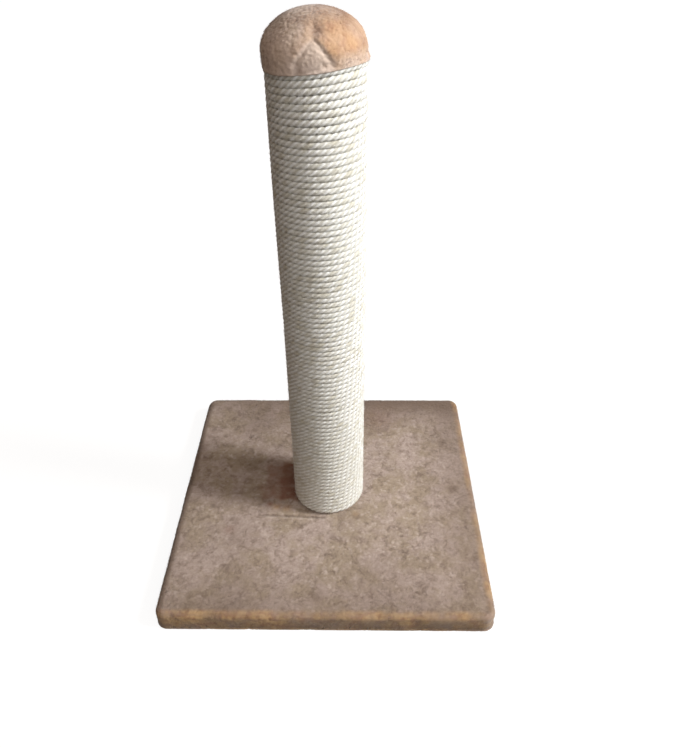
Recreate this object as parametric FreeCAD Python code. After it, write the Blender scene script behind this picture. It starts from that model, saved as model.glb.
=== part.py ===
# Cat scratching post: a carpeted square base, a paper tube wound with sisal rope and a padded,
# pleated carpet cap. One solid or one group of solids per piece, each written to parts/NODE.step.
# Millimetres, +Z up. The origin is on the floor under the middle of the base, and -Y is the front.

import FreeCAD
import Part
import math
import os
from FreeCAD import Vector

# ---- driving dimensions ----------------------------------------------------------------------

# base
base_side = 400.0               # square, over the carpet
carpet_thickness = 5.5          # backing and pile together
board_thickness = 16.0          # particle board
board_corner_radius = 10.0
carpet_top_edge_radius = 7.0    # pile rolls over the board's upper edge
carpet_fold_chamfer = 3.0       # where the carpet turns under the board
hem_width = 42.0                # carpet folded under the board, from the outer edge
mitre_gap = 1.2                 # between the two folded ends that meet at each corner

# post
tube_inner_diameter = 76.0      # a standard three inch paper core
tube_wall = 3.0
tube_above_rope = 10.0          # bare tube that the cap's skirt is stapled to
plug_thickness = 18.0
plug_clearance = 0.1            # each plug in the tube, on the radius

# rope winding
rope_diameter = 6.0
rope_height = 550.0             # of the wound stretch
rope_turn_gap = 0.15            # least room that each turn needs beside the next
rope_groove_depth = 1.5         # between turns, where the round ropes lie against each other
rope_seat_clearance = 0.05      # rope on tube, on the radius
rope_sides = 18                 # flat facets in one turn
rope_start_angle = 90.0         # both cut ends are at the back

# cap
cap_overhang = 2.0              # widest lobes beyond the rope
cap_rim_overhang = 0.6          # lower edge, tucked in a little
cap_widest_above_rim = 6.0
cap_shoulder_share = 0.67       # of the way out to the widest level, half of the way up to it
cap_crown = 37.0                # from the widest level up to the top
cap_top_thickness = 5.5         # carpet over the padding's crown
cover_clearance = 0.3           # cover on tube, padding and rope
pleat_depth = 2.6               # of the creases at the rim
pleat_fade = 0.55               # share of that depth lost by the tucks' points
pleat_fade_power = 1.5          # of the crown's narrowing, over the rest of the crown
tuck_sink = 1.2                 # a folded tuck lies this much inside the lobes beside it
tuck_half_angle = 19.5          # of a tuck at the rim, in degrees
tuck_point_half_angle = 3.0     # of a tuck above its point
tuck_point = 38.0               # how far up the crown a tuck comes to its point, in degrees
tuck_angles = [-88.0, 3.0, 93.0, 179.0]     # the four tucks, anticlockwise from +X
tuck_facets = 4                 # flat facets across one tuck
lobe_facets = 6
padding_facets = 32             # round the padding
crown_steps = (0.0, 12.0, 24.0, 36.0, 48.0, 60.0, 71.0, 81.0)   # facet levels up a crown, in degrees

# fasteners
bolt_diameter = 8.0
bolt_length = 40.0              # under the head
bolt_head_diameter = 18.0
bolt_head_height = 3.0
bolt_hole_clearance = 0.5       # through board and carpet, on the radius
socket_across_flats = 5.0
socket_depth = 2.2
washer_diameter = 24.0
washer_thickness = 1.6
washer_clearance = 0.2          # on the bolt, on the radius
counterbore_clearance = 2.0     # round the washer, on the radius
head_recess = 0.5               # bolt head above the board's underside
nut_flange_diameter = 22.0
nut_flange_thickness = 1.4
nut_barrel_diameter = 10.0
nut_barrel_length = 11.0
nut_thread_clearance = 0.05     # on the radius
nut_prong_width = 3.2
nut_prong_length = 7.5
nut_prong_count = 4
staple_wire = 1.0
staple_crown = 12.0
staple_leg = 12.0
hem_staples_per_side = 4
hem_staple_cover = 1.5          # pile that closes over a crown
staples_per_plug = 4
cap_staple_leg = 10.0
cap_staple_seat = 1.6           # carpet backing between a crown and the tube
rope_end_staple_angle = 10.0    # from the rope's cut end, in degrees

# ---- levels and radii worked out from them ---------------------------------------------------

board_side = base_side - 2 * carpet_thickness
board_bottom = carpet_thickness
board_top = board_bottom + board_thickness
base_top = board_top + carpet_thickness
hem_opening = base_side - 2 * hem_width

tube_inner_radius = tube_inner_diameter / 2
tube_outer_radius = tube_inner_radius + tube_wall
plug_radius = tube_inner_radius - plug_clearance
rope_bottom = base_top
rope_top = rope_bottom + rope_height
tube_top = rope_top + tube_above_rope
bottom_plug_top = rope_bottom + plug_thickness
top_plug_bottom = tube_top - plug_thickness

rope_crest_radius = tube_outer_radius + rope_seat_clearance + rope_diameter
rope_groove_radius = rope_crest_radius - rope_groove_depth
rope_turns = int(rope_height / (rope_diameter + rope_turn_gap)) - 1
rope_pitch = rope_height / (rope_turns + 1)     # one more pitch holds the climb of the last turn
# flat facets touch the round tube at their middles, so their corners stand further out
rope_bore_radius = (tube_outer_radius + rope_seat_clearance) / math.cos(math.pi / rope_sides)

cap_radius = rope_crest_radius + cap_overhang
cap_rim_radius = rope_crest_radius + cap_rim_overhang
cover_rim = rope_top + cover_clearance
cap_widest = cover_rim + cap_widest_above_rim
cap_top = cap_widest + cap_crown
padding_top = cap_top - cap_top_thickness - cover_clearance

counterbore_depth = washer_thickness + bolt_head_height + head_recess
washer_top = board_bottom + counterbore_depth
washer_bottom = washer_top - washer_thickness
bolt_head_bottom = washer_bottom - bolt_head_height
bolt_radius = bolt_diameter / 2
bolt_hole_radius = bolt_radius + bolt_hole_clearance
nut_barrel_radius = nut_barrel_diameter / 2
nut_barrel_bottom = bottom_plug_top - nut_barrel_length


# ---- helpers ---------------------------------------------------------------------------------

def cylinder(radius, bottom, top):
    return Part.makeCylinder(radius, top - bottom, Vector(0, 0, bottom))


def square_plate(side, bottom, top):
    return Part.makeBox(side, side, top - bottom, Vector(-side / 2, -side / 2, bottom))


def rounded_plate(side, bottom, top, corner_radius):
    """A square plate, centred on the axis, with its four upright edges rounded."""
    plate = square_plate(side, bottom, top)
    upright = [edge for edge in plate.Edges if abs(edge.tangentAt(edge.FirstParameter).z) > 0.99]
    return plate.makeFillet(corner_radius, upright)


def edges_at_level(shape, level):
    """The edges that lie in the horizontal plane at this level."""
    return [edge for edge in shape.Edges
            if abs(edge.BoundBox.ZMin - level) < 1e-6 and abs(edge.BoundBox.ZMax - level) < 1e-6]


def turned(shape, degrees):
    """A copy turned about the post's axis."""
    copy = shape.copy()
    copy.rotate(Vector(0, 0, 0), Vector(0, 0, 1), degrees)
    return copy


def around(shape, count, first_angle=0.0):
    """Evenly spaced copies about the post's axis."""
    return [turned(shape, first_angle + 360.0 * index / count) for index in range(count)]


def cut_all(shape, tools):
    return shape.cut(Part.makeCompound(tools))


def point_at(radius, degrees, level):
    angle = math.radians(degrees)
    return Vector(radius * math.cos(angle), radius * math.sin(angle), level)


def flat_face(corners):
    return Part.Face(Part.makePolygon(corners + corners[:1]))


def two_triangles(a, b, c, d):
    """The quad a, b, c, d as two flat faces."""
    return [flat_face([a, b, c]), flat_face([a, c, d])]


def faceted_solid(faces):
    """Sews flat faces into one closed solid whose faces point out."""
    shell = Part.makeShell(faces)
    shell.sewShape()
    solid = Part.Solid(shell)
    if solid.Volume < 0:
        solid.reverse()
    return solid


# ---- fasteners -------------------------------------------------------------------------------

def staple(leg_length):
    """A wire staple with its crown along X, centred, and its legs running up from level zero."""
    half = staple_crown / 2
    crown = Part.makeBox(staple_crown, staple_wire, staple_wire, Vector(-half, -staple_wire / 2, 0))
    legs = [Part.makeBox(staple_wire, staple_wire, leg_length, Vector(x, -staple_wire / 2, 0))
            for x in (-half, half - staple_wire)]
    return crown.multiFuse(legs).removeSplitter()


def staple_in_post(leg_length, crown_face_radius, degrees, level):
    """A staple with its crown level, driven straight at the post's axis."""
    one = staple(leg_length)
    one.rotate(Vector(0, 0, 0), Vector(1, 0, 0), 90)       # legs now run towards -Y
    one.translate(Vector(0, crown_face_radius, level))
    return turned(one, degrees - 90)


def hem_staples():
    """Rows of staples that hold the folded hem under the board, one row along each side."""
    spread = hem_opening
    step = spread / hem_staples_per_side
    row_offset = hem_opening / 2 + (hem_width - carpet_thickness) / 2
    placed = []
    for index in range(hem_staples_per_side):
        one = staple(staple_leg)
        one.translate(Vector((index + 0.5) * step - spread / 2, -row_offset, hem_staple_cover))
        placed += around(one, 4)
    return placed


def plug_staples(level):
    """Staples through the tube's wall into a plug, with their crowns sunk into the wall."""
    crown_face_radius = math.sqrt(tube_outer_radius ** 2 - (staple_crown / 2) ** 2)
    step = 360.0 / staples_per_plug
    return [staple_in_post(staple_leg, crown_face_radius, (index + 0.5) * step, level)
            for index in range(staples_per_plug)]


def rope_end_staples():
    """One staple through the rope beside each of its cut ends, its crown drawn down into the fibres."""
    crown_face_radius = rope_groove_radius * math.cos(math.pi / rope_sides)
    climb = rope_pitch * rope_end_staple_angle / 360.0
    start = rope_start_angle + rope_end_staple_angle
    end = rope_start_angle + 360.0 * rope_turns - rope_end_staple_angle
    return [staple_in_post(staple_leg, crown_face_radius, start, rope_bottom + rope_pitch / 2 + climb),
            staple_in_post(staple_leg, crown_face_radius, end, rope_top - rope_pitch / 2 - climb)]


def cap_staples():
    """One staple through each folded tuck of the cap's skirt."""
    level = (cover_rim + tube_top) / 2
    crown_face_radius = tube_outer_radius + cap_staple_seat + staple_wire
    return [staple_in_post(cap_staple_leg, crown_face_radius, centre, level) for centre in tuck_angles]


def base_bolt():
    """Flat-headed bolt with a hexagon socket, up through board and carpet into the tee nut."""
    head = cylinder(bolt_head_diameter / 2, bolt_head_bottom, washer_bottom)
    shank = cylinder(bolt_radius, washer_bottom, washer_bottom + bolt_length)
    across_corners = socket_across_flats / math.cos(math.pi / 6)
    hexagon = [point_at(across_corners / 2, 60 * index, bolt_head_bottom) for index in range(6)]
    socket = flat_face(hexagon).extrude(Vector(0, 0, socket_depth))
    return head.fuse(shank).removeSplitter().cut(socket)


def base_washer():
    disc = cylinder(washer_diameter / 2, washer_bottom, washer_top)
    return disc.cut(cylinder(bolt_radius + washer_clearance, washer_bottom, washer_top))


def tee_nut():
    """Flanged nut on the bottom plug, with its barrel and prongs down in the wood."""
    flange_top = bottom_plug_top + nut_flange_thickness
    flange = cylinder(nut_flange_diameter / 2, bottom_plug_top, flange_top)
    barrel = cylinder(nut_barrel_radius, nut_barrel_bottom, bottom_plug_top)
    root = nut_flange_diameter / 2 - 2 * nut_flange_thickness
    prong = flat_face([Vector(root, -nut_prong_width / 2, bottom_plug_top),
                       Vector(root, nut_prong_width / 2, bottom_plug_top),
                       Vector(root, 0, bottom_plug_top - nut_prong_length)])
    prong = prong.extrude(Vector(nut_flange_thickness, 0, 0))
    body = flange.multiFuse([barrel] + around(prong, nut_prong_count)).removeSplitter()
    return body.cut(cylinder(bolt_radius + nut_thread_clearance, nut_barrel_bottom, flange_top))


# ---- base ------------------------------------------------------------------------------------

def board_blank():
    return rounded_plate(board_side, board_bottom, board_top, board_corner_radius)


def base_board(staples):
    """Square board with the bolt's hole, and a counterbore below for its washer and head."""
    hole = cylinder(bolt_hole_radius, board_bottom, board_top)
    counterbore = cylinder(washer_diameter / 2 + counterbore_clearance, board_bottom, washer_top)
    return cut_all(board_blank(), [hole, counterbore] + staples)


def carpeted_outside():
    """The outside of the covered base: pile rolled over the upper edge and folded at the lower one."""
    outside = rounded_plate(base_side, 0, base_top, board_corner_radius + carpet_thickness)
    outside = outside.makeFillet(carpet_top_edge_radius, edges_at_level(outside, base_top))
    return outside.makeChamfer(carpet_fold_chamfer, edges_at_level(outside, 0))


def base_carpet():
    """The carpet over the board's top and down its sides, as far as the fold."""
    under_board = square_plate(base_side, 0, board_bottom)
    bolt_hole = cylinder(bolt_hole_radius, board_top, base_top)
    return cut_all(carpeted_outside(), [board_blank(), under_board, bolt_hole])


def carpet_hem(staples):
    """The same sheet beyond the fold: one flap under each side of the board, mitred at the corners."""
    folded = carpeted_outside().common(square_plate(base_side, 0, board_bottom))
    diagonal = math.sqrt(2) * base_side / 2
    slit = Part.makeBox(diagonal, mitre_gap, board_bottom, Vector(0, -mitre_gap / 2, 0))
    opening = square_plate(hem_opening, 0, board_bottom)
    return cut_all(folded, [opening] + around(slit, 4, 45.0) + staples)


# ---- post ------------------------------------------------------------------------------------

def post_tube(staples):
    """Paper tube from the base's carpet up to the cap's padding."""
    tube = cylinder(tube_outer_radius, rope_bottom, tube_top)
    tube = tube.cut(cylinder(tube_inner_radius, rope_bottom, tube_top))
    return cut_all(tube, staples)


def bottom_plug(fasteners):
    """Wooden disc in the tube's foot, bored for the bolt and the tee nut's barrel."""
    disc = cylinder(plug_radius, rope_bottom, bottom_plug_top)
    bore = cylinder(nut_barrel_radius, rope_bottom, bottom_plug_top)
    return cut_all(disc, [bore] + fasteners)


def top_plug(staples):
    """Wooden disc in the tube's head, which the padding sits on."""
    return cut_all(cylinder(plug_radius, top_plug_bottom, tube_top), staples)


def rope_point(radius, column, lift):
    """A corner of the winding. Columns climb steadily round the post, and lift adds whole turns."""
    level = rope_bottom + rope_pitch * (column / rope_sides + lift)
    return point_at(radius, rope_start_angle + 360.0 * column / rope_sides, level)


def sisal_rope(staples):
    """The rope's winding as one sleeve. Each turn is a ridge that runs on into the next, in one
    unbroken helix from the cut end at the foot to the cut end under the cap."""
    last = rope_sides * rope_turns
    faces = []
    for column in range(last):
        low, low_next = (rope_point(rope_groove_radius, column + i, 0.0) for i in (0, 1))
        crest, crest_next = (rope_point(rope_crest_radius, column + i, 0.5) for i in (0, 1))
        high, high_next = (rope_point(rope_groove_radius, column + i, 1.0) for i in (0, 1))
        faces += two_triangles(low, low_next, crest_next, crest)
        faces += two_triangles(crest, crest_next, high_next, high)
    for column in range(rope_sides):
        inner, inner_next = (rope_point(rope_bore_radius, column + i, 0.0) for i in (0, 1))
        outer, outer_next = (rope_point(rope_groove_radius, column + i, 0.0) for i in (0, 1))
        climb = Vector(0, 0, rope_pitch * rope_turns)
        faces += two_triangles(inner, inner_next, outer_next, outer)
        faces += two_triangles(inner + climb, inner_next + climb, outer_next + climb, outer + climb)
        faces.append(flat_face([inner, inner_next, inner_next + climb, inner + climb]))
    for column in (0, last):
        faces.append(flat_face([rope_point(rope_bore_radius, column, 0.0),
                                rope_point(rope_groove_radius, column, 0.0),
                                rope_point(rope_crest_radius, column, 0.5),
                                rope_point(rope_groove_radius, column, 1.0),
                                rope_point(rope_bore_radius, column, 1.0)]))
    return cut_all(faceted_solid(faces), staples)


# ---- cap -------------------------------------------------------------------------------------

def cap_panels(half_angle):
    """Start and end angles of each panel round the cap: a tuck, the lobe after it, and so on."""
    panels = []
    for index, centre in enumerate(tuck_angles):
        following = tuck_angles[(index + 1) % len(tuck_angles)] % 360.0
        while following <= centre:
            following += 360.0
        panels.append((centre - half_angle, centre + half_angle))
        panels.append((centre + half_angle, following - half_angle))
    return panels


def cover_ring(radius, level, closing, fade):
    """Points round one level: an arc over every panel, with a crease where two panels meet.
    Closing runs from 0 at the rim to 1 at the tucks' points, and fade from 1 to 0 flattens them."""
    half_angle = tuck_half_angle + (tuck_point_half_angle - tuck_half_angle) * closing
    crease_radius = radius - pleat_depth * fade
    points = []
    for index, (start, end) in enumerate(cap_panels(half_angle)):
        is_tuck = index % 2 == 0
        middle_radius = radius - tuck_sink * fade if is_tuck else radius
        arc = Part.Arc(point_at(crease_radius, start, level),
                       point_at(middle_radius, (start + end) / 2, level),
                       point_at(crease_radius, end, level)).toShape()
        points += arc.discretize((tuck_facets if is_tuck else lobe_facets) + 1)[:-1]
    return points


def skin_faces(rings):
    """Flat facets between rings with equal numbers of points, from each ring to the next."""
    faces = []
    count = len(rings[0])
    for lower, upper in zip(rings, rings[1:]):
        for index in range(count):
            following = (index + 1) % count
            faces += two_triangles(lower[index], lower[following], upper[following], upper[index])
    return faces


def closed_crown(rings, top):
    """The solid under a stack of rings, flat below and closed by facets that meet at the top."""
    last = rings[-1]
    tip = Vector(0, 0, top)
    faces = [flat_face(rings[0])] + skin_faces(rings)
    faces += [flat_face([last[index], last[(index + 1) % len(last)], tip]) for index in range(len(last))]
    return faceted_solid(faces)


def cover_outside():
    """The pleated outside, ring by ring from the rim to the top."""
    shoulder_radius = cap_rim_radius + cap_shoulder_share * (cap_radius - cap_rim_radius)
    rings = [cover_ring(cap_rim_radius, cover_rim, 0.0, 1.0),
             cover_ring(shoulder_radius, (cover_rim + cap_widest) / 2, 0.0, 1.0)]
    for step in crown_steps:
        angle = math.radians(step)
        closing = min(1.0, step / tuck_point)
        fade = math.cos(angle) ** pleat_fade_power * (1.0 - pleat_fade * closing)
        rings.append(cover_ring(cap_radius * math.cos(angle), cap_widest + cap_crown * math.sin(angle),
                                closing, fade))
    return closed_crown(rings, cap_top)


def padding_dome(clearance):
    """A crowned round pad on the tube's end, grown by a clearance at its sides and top."""
    height = padding_top - tube_top + clearance
    turns = [360.0 * index / padding_facets for index in range(padding_facets)]
    rings = []
    for step in crown_steps:
        angle = math.radians(step)
        radius = (tube_outer_radius + clearance) * math.cos(angle)
        level = tube_top + height * math.sin(angle)
        rings.append([point_at(radius, turn, level) for turn in turns])
    return closed_crown(rings, tube_top + height)


def cap_padding():
    """Foam pad on the tube's end and the top plug, crowned like the cover's inside."""
    return padding_dome(0.0)


def cap_cover(staples):
    """Carpet cap with four folded tucks, down over the tube's end as a stapled skirt."""
    skirt = cylinder(tube_outer_radius + cover_clearance, cover_rim, tube_top)
    return cut_all(cover_outside(), [skirt, padding_dome(cover_clearance)] + staples)


# ---- all pieces ------------------------------------------------------------------------------

def build():
    hem = hem_staples()
    cap = cap_staples()
    rope_ends = rope_end_staples()
    foot = plug_staples((rope_bottom + bottom_plug_top) / 2)
    head = plug_staples((top_plug_bottom + rope_top) / 2)
    nut = tee_nut()
    return {
        "base_board": base_board(hem),
        "base_carpet": base_carpet(),
        "carpet_hem": carpet_hem(hem),
        "hem_staples": Part.makeCompound(hem),
        "base_bolt": base_bolt(),
        "base_washer": base_washer(),
        "tee_nut": nut,
        "bottom_plug": bottom_plug(foot + rope_ends + [nut]),
        "bottom_plug_staples": Part.makeCompound(foot),
        "post_tube": post_tube(foot + head + rope_ends + cap),
        "sisal_rope": sisal_rope(rope_ends),
        "rope_end_staples": Part.makeCompound(rope_ends),
        "top_plug": top_plug(head + rope_ends + cap),
        "top_plug_staples": Part.makeCompound(head),
        "cap_padding": cap_padding(),
        "cap_cover": cap_cover(cap),
        "cap_staples": Part.makeCompound(cap),
    }


def main():
    os.makedirs("parts", exist_ok=True)
    for node, shape in build().items():
        shape.exportStep(os.path.join("parts", node + ".step"))
        volume = round(shape.Volume / 1000, 2)
        print(node, "solids", len(shape.Solids), "valid", shape.isValid(), "volume in cm3", volume)
    centreline_radius = rope_crest_radius - rope_diameter / 2
    rope_length = rope_turns * math.hypot(2 * math.pi * centreline_radius, rope_pitch)
    print("rope turns", rope_turns, "length in m", round(rope_length / 1000, 2))
    print("rope pitch", round(rope_pitch, 3), "room beside a turn", round(rope_pitch - rope_diameter, 3))
    print("overall height", cap_top)


main()
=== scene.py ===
import itertools
import math
import bpy
import numpy as np
from mathutils import Matrix, Vector


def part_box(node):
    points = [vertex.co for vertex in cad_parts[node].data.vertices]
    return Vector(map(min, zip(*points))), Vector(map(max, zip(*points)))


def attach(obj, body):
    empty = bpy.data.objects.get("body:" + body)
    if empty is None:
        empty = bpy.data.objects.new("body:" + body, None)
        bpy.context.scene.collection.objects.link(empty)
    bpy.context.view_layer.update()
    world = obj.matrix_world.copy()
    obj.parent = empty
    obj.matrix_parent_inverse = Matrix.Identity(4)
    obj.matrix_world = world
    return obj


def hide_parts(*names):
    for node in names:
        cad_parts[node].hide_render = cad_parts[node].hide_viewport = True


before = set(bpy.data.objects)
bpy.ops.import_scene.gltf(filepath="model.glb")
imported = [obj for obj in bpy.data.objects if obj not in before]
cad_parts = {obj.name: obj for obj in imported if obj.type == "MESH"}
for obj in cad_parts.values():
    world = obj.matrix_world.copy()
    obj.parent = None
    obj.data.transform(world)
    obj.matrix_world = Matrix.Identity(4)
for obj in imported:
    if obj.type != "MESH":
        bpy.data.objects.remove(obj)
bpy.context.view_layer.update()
print("frame loaded:", len(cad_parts), "nodes")

mm = 0.001   # everything below is in metres, so sizes are written as so many mm

# where the frame says that the main surfaces are
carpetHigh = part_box("base_carpet")[1]
boardLow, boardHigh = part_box("base_board")
ropeLow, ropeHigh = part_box("sisal_rope")
capLow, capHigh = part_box("cap_cover")
paddingLow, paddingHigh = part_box("cap_padding")
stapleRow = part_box("hem_staples")[1].y - 0.5 * mm       # middle of the hem's rows of staples
baseHalf = carpetHigh.x
baseTop = carpetHigh.z
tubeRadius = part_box("post_tube")[1].x


def clamp(values):
    return np.clip(values, 0, 1)


def bell(distance, width):
    # 1 at no distance, falling away smoothly over the width
    return np.exp(-(distance / width) ** 2)


def flatWay(angle):
    # level unit vector at an angle from +X
    return np.stack([np.cos(angle), np.sin(angle), 0 * angle], -1)


def unitLong(vectors):
    return vectors / (np.linalg.norm(vectors, axis=-1, keepdims=True) + 1e-12)


def latticeNoise(points, cell, seed):
    # value noise from -1 to 1: a hashed random number at each corner of a cubic lattice, blended smoothly
    q = np.asarray(points, float) / cell
    base = np.floor(q).astype(np.int64)
    f = q - base
    f = f * f * (3 - 2 * f)
    total = np.zeros(q.shape[:-1])
    for corner in itertools.product((0, 1), repeat=3):
        side = np.array(corner)
        weight = np.prod(np.where(side == 1, f, 1 - f), axis=-1)
        total += weight * hashed(base + side, seed)
    return total * 2 - 1


def hashed(cells, seed):
    # a repeatable random number from 0 to 1 for each whole-number cell
    mixed = cells[..., 0] * 73856093 ^ cells[..., 1] * 19349663 ^ cells[..., 2] * 83492791 ^ seed * 2654435761
    mixed = (mixed ^ (mixed >> 15)) * 2246822519 & 0xFFFFFFFF
    mixed = (mixed ^ (mixed >> 13)) * 3266489917 & 0xFFFFFFFF
    return (mixed ^ (mixed >> 16)) / 0xFFFFFFFF


def tufts(points, cell, seed):
    # cellular noise: how near each point is to the closest of one jittered tuft per cell (1 at its middle,
    # 0 a cell away), and that tuft's own random number
    q = np.asarray(points, float) / cell
    base = np.floor(q).astype(np.int64)
    nearest = np.full(q.shape[:-1], 9.0)
    shade = np.zeros(q.shape[:-1])
    for step in itertools.product((-1, 0, 1), repeat=3):
        cells = base + np.array(step)
        jitter = np.stack([hashed(cells, seed + k) for k in range(3)], -1)
        distance = np.linalg.norm(cells + jitter - q, axis=-1)
        closer = distance < nearest
        nearest = np.where(closer, distance, nearest)
        shade = np.where(closer, hashed(cells, seed + 7), shade)
    return 1 - clamp(nearest), shade


def meshPiece(name, points, faces, values=None, uvs=None):
    # one object from arrays: points (n, 3), faces as lists of point numbers, and values as
    # {attribute: one per point, and 0 for the points after its last}
    mesh = bpy.data.meshes.new(name)
    mesh.from_pydata(np.asarray(points, float).reshape(-1, 3).tolist(), [], faces)
    for key, value in (values or {}).items():
        layer = mesh.attributes.new(key, "FLOAT", "POINT")
        whole = np.zeros(len(mesh.vertices), np.float32)
        whole[:value.size] = value.ravel()
        layer.data.foreach_set("value", whole)
    if uvs is not None:
        layer = mesh.uv_layers.new(name="UVMap")
        layer.data.foreach_set("uv", np.asarray(uvs, np.float32).ravel())
    mesh.polygons.foreach_set("use_smooth", np.ones(len(mesh.polygons), bool))
    mesh.update()
    piece = bpy.data.objects.new(name, mesh)
    bpy.context.scene.collection.objects.link(piece)
    return piece


def gridFaces(rows, columns, closed, start=0):
    # quads of a rows x columns grid of points; closed joins the last column to the first
    r = np.arange(rows - 1)[:, None]
    c = np.arange(columns if closed else columns - 1)[None, :]
    following = (c + 1) % columns
    quads = np.stack([r * columns + c, r * columns + following,
                      (r + 1) * columns + following, (r + 1) * columns + c], -1)
    return (quads.reshape(-1, 4) + start).tolist()


def bandFaces(first, second):
    # quads between two closed rings of point numbers
    return np.stack([first, np.roll(first, -1), np.roll(second, -1), second], -1).tolist()


def fanFaces(start, columns, tip):
    # triangles from a closed ring, whose first point is start, to one point at its middle
    k = np.arange(columns)
    return np.stack([start + k, start + (k + 1) % columns, np.full(columns, tip)], -1).tolist()


def finished(piece, material, slot, *nodes):
    # material and body of a new piece, and the CAD nodes that it stands for, which it hides; slot is not used
    piece.data.materials.append(material)
    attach(piece, "root")
    if nodes:
        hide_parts(*nodes)
    return piece


def spikes(name, roots, along, outward, lengths, width, values):
    # fine straight fibres with three sides: three corners round the root, and a point at the far end. The
    # values are {attribute: one per fibre}
    along = unitLong(along)
    side = unitLong(np.cross(along, outward))
    third = np.cross(along, side)
    corners = []
    for turn in range(3):
        angle = 2 * math.pi * turn / 3
        corners.append(roots + (side * math.cos(angle) + third * math.sin(angle)) * width / 2)
    corners.append(roots + along * lengths[:, None])
    points = np.stack(corners, 1)
    pattern = np.array([[0, 2, 1], [0, 1, 3], [1, 2, 3], [2, 0, 3]])
    faces = (np.arange(len(roots))[:, None, None] * 4 + pattern).reshape(-1, 3).tolist()
    return meshPiece(name, points, faces, {key: np.repeat(value, 4) for key, value in values.items()})


def linear(red, green, blue):
    # a screen colour from 0 to 255 as the shader wants it
    parts = [c / 255 for c in (red, green, blue)]
    return tuple(c / 12.92 if c <= 0.04045 else ((c + 0.055) / 1.055) ** 2.4 for c in parts) + (1.0,)


class NodeSheet:
    # a short way to lay out the nodes of one material, or of the world
    def __init__(self, name, kind="materials", main="Principled BSDF", **shader):
        self.result = getattr(bpy.data, kind).new(name)
        self.result.use_nodes = True
        self.nodes = self.result.node_tree.nodes
        self.links = self.result.node_tree.links
        self.shader = self.nodes[main]
        for socket, value in shader.items():
            self.shader.inputs[socket.replace("_", " ")].default_value = value

    def add(self, kind, inputs=None, **settings):
        node = self.nodes.new(kind)
        for key, value in settings.items():
            setattr(node, key, value)
        for key, value in (inputs or {}).items():
            self.plug(value, node.inputs[key])
        return node

    def plug(self, value, socket):
        if isinstance(value, bpy.types.NodeSocket):
            self.links.new(value, socket)
        else:
            socket.default_value = value

    def place(self, scale=(1, 1, 1), turn=(0, 0, 0), source="Object"):
        inputs = {"Vector": self.add("ShaderNodeTexCoord").outputs[source], "Scale": scale, "Rotation": turn}
        return self.add("ShaderNodeMapping", inputs).outputs[0]

    def noise(self, vector, scale, detail=3.0, roughness=0.55, distortion=0.0):
        inputs = {"Vector": vector, "Scale": scale, "Detail": detail, "Roughness": roughness,
                  "Distortion": distortion}
        return self.add("ShaderNodeTexNoise", inputs).outputs["Fac"]

    def attribute(self, name):
        return self.add("ShaderNodeAttribute", attribute_name=name).outputs["Fac"]

    def ramp(self, factor, *stops):
        node = self.add("ShaderNodeValToRGB", {"Fac": factor})
        while len(node.color_ramp.elements) < len(stops):
            node.color_ramp.elements.new(0.5)
        for element, (place, colour) in zip(node.color_ramp.elements, stops):
            element.position = place
            element.color = colour
        return node.outputs["Color"]

    def grey(self, factor, low, high, lowOut=0.0, highOut=1.0):
        return self.add("ShaderNodeMapRange", {"Value": factor, "From Min": low, "From Max": high,
                                               "To Min": lowOut, "To Max": highOut}).outputs[0]

    def mix(self, factor, first, second):
        node = self.add("ShaderNodeMix", data_type="RGBA")
        self.plug(factor, node.inputs[0])
        self.plug(first, node.inputs[6])
        self.plug(second, node.inputs[7])
        return node.outputs[2]

    def tint(self, base, colour, factor, low, high, strength=1.0):
        # the base, with this much of the colour where the factor is high
        return self.mix(self.grey(factor, low, high, 0.0, strength), base, colour)

    def maths(self, operation, first, second):
        return self.add("ShaderNodeMath", {0: first, 1: second}, operation=operation).outputs[0]

    def sentAndSeen(self, sent, seen, output):
        # one shader for the light that goes to the object, one for what the camera and the gloss of metal see
        ray = self.add("ShaderNodeLightPath").outputs
        looked = self.maths("MAXIMUM", ray["Is Camera Ray"], ray["Is Glossy Ray"])
        blend = self.add("ShaderNodeMixShader", {0: looked, 1: sent.outputs[0], 2: seen.outputs[0]})
        self.plug(blend.outputs[0], self.nodes[output].inputs["Surface"])

    def colour(self, socket):
        self.plug(socket, self.shader.inputs["Base Color"])

    def bump(self, height, strength, distance):
        node = self.add("ShaderNodeBump", {"Height": height, "Strength": strength, "Distance": distance})
        self.plug(node.outputs[0], self.shader.inputs["Normal"])


carpetLook = {
    "mauve": linear(178, 161, 151),
    "olive": linear(162, 146, 127),
    "blotchAndShade": linear(112, 94, 80),
    "pale": linear(204, 188, 178),
    # golden pile, painted brightest where it faces the lamps
    "openedAndLit": linear(190, 154, 104),     # foot of the fibres, where the pile opens over an edge
    "openedAndLitDeep": linear(146, 102, 66),
    "stainAndShadow": linear(120, 77, 54),
    # painted shade with a dark brown tone, near the floor
    "nearFloor": linear(104, 82, 62),        # near the floor
}
capLook = {
    "mauve": linear(214, 196, 184),
    "olive": linear(202, 183, 164),
    "blotchAndShade": linear(136, 110, 94),
    "pale": linear(232, 215, 203),
    "openedAndLit": linear(199, 157, 115),
    "openedAndLitDeep": linear(176, 127, 88),
    "stainAndShadow": linear(150, 110, 84),
    "nearFloor": linear(104, 82, 62),
}


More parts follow.
